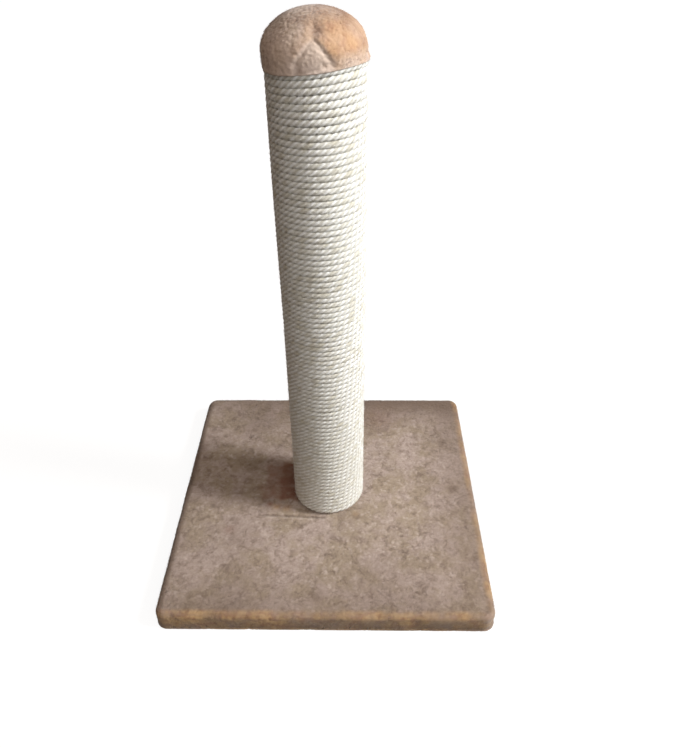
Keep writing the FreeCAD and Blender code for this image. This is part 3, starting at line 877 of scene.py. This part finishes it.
def capPleats(azimuth, crown, spec):
    # how deep the cover is drawn in, over distances measured along the surface: a crease down both sides of
    # each sunken tuck, and one valley from the tuck's point up to near the top
    closing = clamp(crown / spec["tuckPoint"])
    breadth = np.radians(1) * spec["radius"] * np.cos(np.radians(np.clip(crown, 0, 88)))     # of one degree
    fade = clamp((spec["tuckPoint"] * 1.15 - crown) / 14)
    seamFade = clamp((crown - spec["tuckPoint"] + 8) / 14) * clamp((spec["seamEnd"] - crown) / 34)
    draw, crease, inTuck = (np.zeros_like(azimuth) for k in range(3))
    for middle in spec["tucks"]:
        off = np.abs(degreesOff(azimuth, middle)) * breadth
        half = spec["tuckHalf"] * (1 - closing) ** 0.9 * breadth
        inside = 1 / (1 + np.exp(np.clip((off - half) / (0.9 * mm), -30, 30)))
        line = bell(off - half, spec["creaseWidth"]) * fade
        seam = bell(off, spec["seamWidth"]) * seamFade
        draw += inside * fade * spec["tuckSink"] + line * spec["creaseDepth"] + seam * spec["seamDepth"]
        crease = np.maximum(crease, np.maximum(line, seam * 0.6))
        inTuck = np.maximum(inTuck, inside * fade)
    return draw, crease, inTuck


cap["rim"] = rimTable(cap)


def capPoints(azimuth, crown, spec):
    # below the widest level the wall runs down to the uneven rim; above it an ellipse runs up to the top
    widest = capLow.z + spec["widestAbove"]
    rise = capHigh.z - widest - spec["topBelow"]
    under = clamp(-crown / 10)
    angle = np.radians(np.clip(crown, 0, 90))
    reach = spec["radius"] * np.cos(angle) + (spec["rimRadius"] - spec["radius"]) * under ** 2
    lift = rimLift(azimuth, spec)
    level = widest + rise * np.sin(angle) - under * (spec["widestAbove"] - lift)
    draw, crease, inTuck = capPleats(azimuth, crown, spec)
    inward = np.maximum(reach - draw * np.cos(angle) ** 0.5, 0)
    plan = inward[..., None] * flatWay(np.radians(azimuth))[..., :2]
    plan[..., 0] += spec["shift"] * np.cos(angle)
    # beside the rope the edge stays outside it
    aboveRim = level - capLow.z - lift
    thinnest = ropeHigh.x + spec["lip"] - np.maximum(aboveRim - 2 * mm, 0) * 0.5
    fromAxis = np.maximum(np.hypot(plan[..., 0], plan[..., 1]), 1e-6)
    grow = np.where(aboveRim < 8 * mm, np.maximum(thinnest / fromAxis, 1), 1)
    return np.concatenate([plan * grow[..., None], level[..., None]], -1), crease, inTuck


def capTone(points, azimuth, crown, inTuck):
    # golden, opened pile over the right front lobe in patches, painted brightest where it faces the lamps,
    # with a little on the others; browner behind the top and beside the front tuck's point, and darker over
    # the right lobe; painted light low on both front lobes
    toRight = clamp(np.cos(np.radians(azimuth + 22)) * 1.5)
    patches = latticeNoise(points, 17 * mm, 77) * 0.3 + 0.8
    openedAndLit = clamp(1 - np.abs(crown - 22) / 62) ** 0.6 * (0.1 + 0.9 * toRight) * patches * (1 - inTuck)
    back = clamp((np.sin(np.radians(azimuth)) + 0.3) * 2) * clamp((crown - 35) / 25)
    dark = 0.46 * clamp((crown - 25) / 25) + 0.4 * back + 0.3 * toRight
    dark += (0.2 + 0.3 * toRight) * clamp(latticeNoise(points, 9 * mm, 78))
    pale = lobe(azimuth, -128, 38) * clamp(1.4 - crown / 30)
    paleRim = lobe(azimuth, -50, 26) * clamp(1 - crown / 14)
    brownSpot = lobe(azimuth, -79, 9) * bell(crown - 41, 9)
    openedAndLit *= (1 - 0.6 * paleRim) * (1 - 0.5 * brownSpot) * (1 - 0.4 * clamp((crown - 48) / 15))
    dark = dark * (1 - 0.8 * paleRim) + 0.45 * brownSpot
    return clamp(openedAndLit + 0.2 * pale), dark * (1 - inTuck) * (1 - 0.8 * pale), pale + 0.8 * paleRim


def frontTuck(azimuth, inTuck, spec):
    # how far a point lies in the front tuck, the only one whose tone differs
    return inTuck * lobe(azimuth, spec["tucks"][0], 60)


def capPiece(spec):
    # outside from rim to top, then a plain inside from the rope's last turn back over the padding
    azimuth = np.linspace(0, 360, spec["columns"], endpoint=False)
    crown = np.concatenate([np.linspace(-10, 0, 13)[:-1], np.linspace(0, 88.5, spec["rows"])])
    wideAzimuth, wideCrown = np.broadcast_arrays(azimuth[None], crown[:, None])
    points, crease, inTuck = capPoints(wideAzimuth, wideCrown, spec)
    ahead = np.roll(points, -1, 1) - np.roll(points, 1, 1)
    normal = unitLong(np.cross(ahead, np.gradient(points, axis=0)))
    height, gapShade, shade = pileHeight(points, spec)
    height = np.where(crown[:, None] < -7, np.maximum(height, -0.2 * mm), height)
    points = points + normal * height[..., None]
    rows, columns = points.shape[:2]
    ringOut = flatWay(np.radians(azimuth))
    upright = np.array([0, 0, 1])
    edge = points[0, :, 2:]
    shelf = np.maximum(edge, capLow.z + np.maximum(rimLift(azimuth, spec), 0)[:, None] * 0.8)
    bore = tubeRadius + 0.3 * mm
    ropeSide = ropeHigh.x + 0.25 * mm
    innerRise = paddingHigh.z + 0.3 * mm - paddingLow.z
    inside = [ringOut * ropeSide + edge * upright, ringOut * ropeSide + shelf * upright,
              ringOut * bore + shelf * upright, ringOut * bore + paddingLow.z * upright]
    for angle in np.radians((20, 40, 60, 78)):
        level = paddingLow.z + innerRise * math.sin(angle)
        inside.append(ringOut * bore * math.cos(angle) + level * upright)
    outTip = [[spec["shift"] * 0.1, 0, points[-1, :, 2].mean() + 0.1 * mm]]
    inTip = [[0, 0, paddingLow.z + innerRise]]
    count, innerCount = rows * columns, len(inside) * columns
    everything = np.vstack([points.reshape(-1, 3), *inside, outTip, inTip])
    tip = count + innerCount
    ring = np.arange(columns)
    faces = gridFaces(rows, columns, True) + fanFaces(count - columns, columns, tip)
    innerFaces = gridFaces(len(inside), columns, True, count) + fanFaces(tip - columns, columns, tip + 1)
    faces += [face[::-1] for face in innerFaces] + bandFaces(count + ring, ring)
    inTuck = frontTuck(wideAzimuth, inTuck, spec)
    openedAndLit, dark, pale = capTone(points, wideAzimuth, wideCrown, inTuck)
    # pale brings the painted light low on the front lobes into the tufts' shade; creases get painted shade
    values = {"gapShade": clamp(gapShade + crease * 0.3), "shade": clamp(shade + inTuck * 0.8 + crease * 0.2 + pale),
              "openedAndLit": openedAndLit * (1 - crease * 0.7), "edge": dark, "stainAndShadow": 0 * gapShade, "low": 0 * gapShade}
    piece = meshPiece("cap_carpet", everything, faces, values)
    return finished(piece, capCarpet, "carpet", "cap_cover")


capCover = capPiece(cap)
print("cap:", len(capCover.data.polygons), "faces")


def foamPiece():
    # foam pad: a low dome with a rounded shoulder on the tube's end
    columns, rows = 96, 24
    ringOut = flatWay(np.linspace(0, 2 * math.pi, columns, endpoint=False))
    crown = np.radians(np.linspace(0, 87, rows))[:, None, None]
    rise = paddingHigh.z - paddingLow.z
    level = (paddingLow.z + rise * np.sin(crown)) * np.array([0, 0, 1])
    points = paddingHigh.x * np.cos(crown) * ringOut + level
    points[..., :2] *= 1 - 0.006 * np.abs(latticeNoise(points, 12 * mm, 61))[..., None]
    tip = rows * columns
    faces = gridFaces(rows, columns, True) + [np.arange(columns)[::-1].tolist()]
    faces += fanFaces(tip - columns, columns, tip)
    piece = meshPiece("cap_foam", np.vstack([points.reshape(-1, 3), [[0, 0, paddingHigh.z]]]), faces)
    finished(piece, foamMaterial(), "foam", "cap_padding")
    return piece


foamPiece()


def pilePiece(name, roots, normal, spec, random, material, values):
    # short fibres that stand on the surface, each leaning its own way
    count = len(roots)
    way = normal + random.normal(0, 0.42, (count, 3))
    lengths = spec["fibreLength"] * random.uniform(0.5, 1.1, count)
    shade = clamp(random.normal(0.55, 0.22, count))
    piece = spikes(name, roots, way, normal, lengths, spec["fibreWidth"], {"shade": shade, **values})
    return finished(piece, material, "carpet")


def baseFibres(spec, index):
    # one half (index 0 or 1) of the fibres on the top, the roll and the walls
    random = np.random.default_rng(spec["seed"] + 1 + index)
    count = spec["fibres"] // 2
    flatHalf = baseHalf - spec["edgeRadius"]
    onTop = random.uniform(-flatHalf, flatHalf, (count, 2))
    top = np.column_stack([onTop, np.full(count, baseTop)])
    topNormal = np.tile([0.0, 0.0, 1.0], (count, 1))
    few = int(count * 0.3)
    way = random.integers(0, 4, few) * math.pi / 2
    out = flatWay(way)
    run = random.uniform(-1, 1, few)[:, None] * (baseHalf - spec["cornerRadius"])
    drop = random.uniform(0, 1, few)      # from the start of the roll down the wall
    rollShare = 0.45
    bend = clamp(drop / rollShare) * math.pi / 2
    radius = spec["edgeRadius"]
    wallTop = baseTop - radius
    down = (drop - rollShare) / (1 - rollShare) * (wallTop - 3 * mm)
    side = out * (flatHalf + radius * np.sin(bend))[:, None] + flatWay(way + math.pi / 2) * run
    side[:, 2] = wallTop + np.where(drop < rollShare, radius * np.cos(bend), -down)
    sideNormal = out * np.sin(bend)[:, None]
    sideNormal[:, 2] = np.cos(bend)
    roots = np.vstack([top, side])
    normal = np.vstack([topNormal, sideNormal])
    keep = np.hypot(roots[:, 0], roots[:, 1]) > ropeHigh.x + 0.5 * mm
    keep &= (np.abs(roots[:, :2]) < baseHalf - spec["cornerRadius"] * 0.6).any(1)
    roots, normal = roots[keep], normal[keep]
    walls = np.hypot(normal[:, 0], normal[:, 1])
    roots -= normal * (spec["pileBelow"] + 0.5 * mm + spec["wallBelow"] * walls)[:, None]
    values = {"openedAndLit": wallTone(roots, walls), "edge": edgeTone(roots), "stainAndShadow": stainAndShadowTone(roots),
              "low": lowTone(roots[:, 2])}
    return pilePiece(f"base_pile_{index + 1}", roots, normal, spec, random, carpet, values)


def capFibres(spec):
    # fibres all over the cover, but not down in its creases
    random = np.random.default_rng(spec["seed"] + 1)
    azimuth = random.uniform(0, 360, spec["fibres"])
    crown = np.degrees(np.arcsin(random.uniform(-0.13, 1, spec["fibres"])))
    points, crease, inTuck = capPoints(azimuth, crown, spec)
    aside = capPoints(azimuth + 0.5, crown, spec)[0]
    above = capPoints(azimuth, crown + 0.5, spec)[0]
    normal = unitLong(np.cross(aside - points, above - points))
    keep = crease < 0.45
    points, normal, azimuth, crown, inTuck = (a[keep] for a in (points, normal, azimuth, crown, inTuck))
    openedAndLit, dark = capTone(points, azimuth, crown, frontTuck(azimuth, inTuck, spec))[:2]
    roots = points - normal * 0.6 * mm
    return pilePiece("cap_pile", roots, normal, spec, random, capCarpet, {"openedAndLit": openedAndLit, "edge": dark})


basePile = [baseFibres(baseCarpet, index) for index in range(2)]
capPile = capFibres(cap)
print("pile fibres made")


def dress(material, *names):
    # material of CAD nodes that are seen as they are
    for name in names:
        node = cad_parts[name]
        node.data.materials.clear()
        node.data.materials.append(material)


dress(boardMaterial(), "base_board")
dress(plugMaterial(), "bottom_plug", "top_plug")
dress(paperMaterial(), "post_tube")
dress(metalMaterial("zincPlate", linear(206, 208, 210), 0.32, 260.0), "base_bolt", "base_washer", "tee_nut")
dress(metalMaterial("stapleWire", linear(200, 198, 190), 0.38, 500.0), "hem_staples", "bottom_plug_staples",
      "top_plug_staples", "cap_staples", "rope_end_staples")
print("CAD nodes dressed")


studio = {
    "floorColour": linear(112, 111, 109),      # what the floor gives back to the object
    "floorReach": 12.0,
    "floorWhite": (0.92, 1.0),                 # added where the floor is looked at: near the object, far off
    "floorFade": (0.4, 1.3),                   # distances between which the one goes over to the other
    "worldColour": (1.0, 0.66, 0.45, 1.0),
    "worldStrength": 0.16,
    "aim": (0, 0, 0.28),
    "lamps": {
        # name: degrees anticlockwise from +X, degrees up, distance, size, power, colour
        "keyLamp": (-12, 36, 2.4, 0.6, 66.0, (1.0, 1.0, 1.0)),
        "frontLamp": (-62, 38, 2.4, 2.4, 28.0, (1.0, 0.99, 0.98)),
        "backLamp": (118, 26, 2.6, 1.6, 5.0, (1.0, 0.97, 0.94)),
    },
}


def makeFloor(spec):
    # wide floor that sends the object less light than it shows, and keeps the object's shadow
    mesh = bpy.data.meshes.new("floor")
    reach = spec["floorReach"]
    corners = [(-reach, -reach, 0), (reach, -reach, 0), (reach, reach, 0), (-reach, reach, 0)]
    mesh.from_pydata(corners, [], [(0, 1, 2, 3)])
    floor = bpy.data.objects.new("floor", mesh)
    bpy.context.scene.collection.objects.link(floor)
    sheet = NodeSheet("floorPaint", Roughness=0.9, Specular_IOR_Level=0.0)
    sheet.shader.inputs["Base Color"].default_value = spec["floorColour"]
    far = sheet.add("ShaderNodeVectorMath", {0: sheet.place()}, operation="LENGTH")
    steps = dict(enumerate((far.outputs["Value"], *spec["floorFade"], *spec["floorWhite"])))
    white = sheet.add("ShaderNodeMapRange", steps, interpolation_type="SMOOTHSTEP")
    glow = sheet.add("ShaderNodeEmission", {"Color": (1, 1, 1, 1), "Strength": white.outputs[0]})
    bright = sheet.add("ShaderNodeAddShader", {0: sheet.shader.outputs[0], 1: glow.outputs[0]})
    sheet.sentAndSeen(sheet.shader, bright, "Material Output")
    mesh.materials.append(sheet.result)


def makeWorld(spec):
    # dim warm light from all round, that looks white
    sheet = NodeSheet("studioSky", "worlds", "Background", Color=spec["worldColour"],
                      Strength=spec["worldStrength"])
    white = sheet.add("ShaderNodeBackground", {"Color": (1, 1, 1, 1)})
    sheet.sentAndSeen(sheet.shader, white, "World Output")
    bpy.context.scene.world = sheet.result


def makeLamp(name, turn, up, distance, size, power, colour, aim):
    # round lamp that faces the aim
    lamp = bpy.data.lights.new(name, "AREA")
    lamp.shape = "DISK"
    lamp.size = size
    lamp.energy = power
    lamp.color = colour
    turn, up = math.radians(turn), math.radians(up)
    away = Vector((math.cos(turn) * math.cos(up), math.sin(turn) * math.cos(up), math.sin(up)))
    holder = bpy.data.objects.new(name, lamp)
    holder.location = Vector(aim) + away * distance
    holder.rotation_euler = away.to_track_quat("Z", "Y").to_euler()
    bpy.context.scene.collection.objects.link(holder)


cameraView = {
    # fitted to the base's four edges and the post's sides in the photograph
    "place": (0.0324, -0.6503, 0.7187),
    "tilt": 37.127,      # degrees below the horizon
    "yaw": -1.351,       # degrees to the right of +Y
    "roll": 0.750,
    "lens": 32.718,      # with a sensor of 36 on the long side
}


def makeCamera(spec):
    # the photograph's camera
    tilt, yaw, roll = (math.radians(spec[key]) for key in ("tilt", "yaw", "roll"))
    ahead = Vector((math.sin(yaw) * math.cos(tilt), math.cos(yaw) * math.cos(tilt), -math.sin(tilt)))
    right = Vector((math.cos(yaw), -math.sin(yaw), 0))
    down = ahead.cross(right)
    cosine, sine = math.cos(roll), math.sin(roll)
    right, down = right * cosine + down * sine, down * cosine - right * sine
    camera = bpy.data.cameras.new("photoCamera")
    camera.lens = spec["lens"]
    camera.sensor_width = 36
    holder = bpy.data.objects.new("photoCamera", camera)
    turn = Matrix((right, -down, -ahead)).transposed()
    holder.matrix_world = Matrix.Translation(spec["place"]) @ turn.to_4x4()
    bpy.context.scene.collection.objects.link(holder)
    bpy.context.scene.camera = holder


makeFloor(studio)
makeWorld(studio)
for lampName, lampSpec in studio["lamps"].items():
    makeLamp(lampName, *lampSpec, studio["aim"])
makeCamera(cameraView)
bpy.context.scene.view_settings.view_transform = "Standard"
print("stage set")
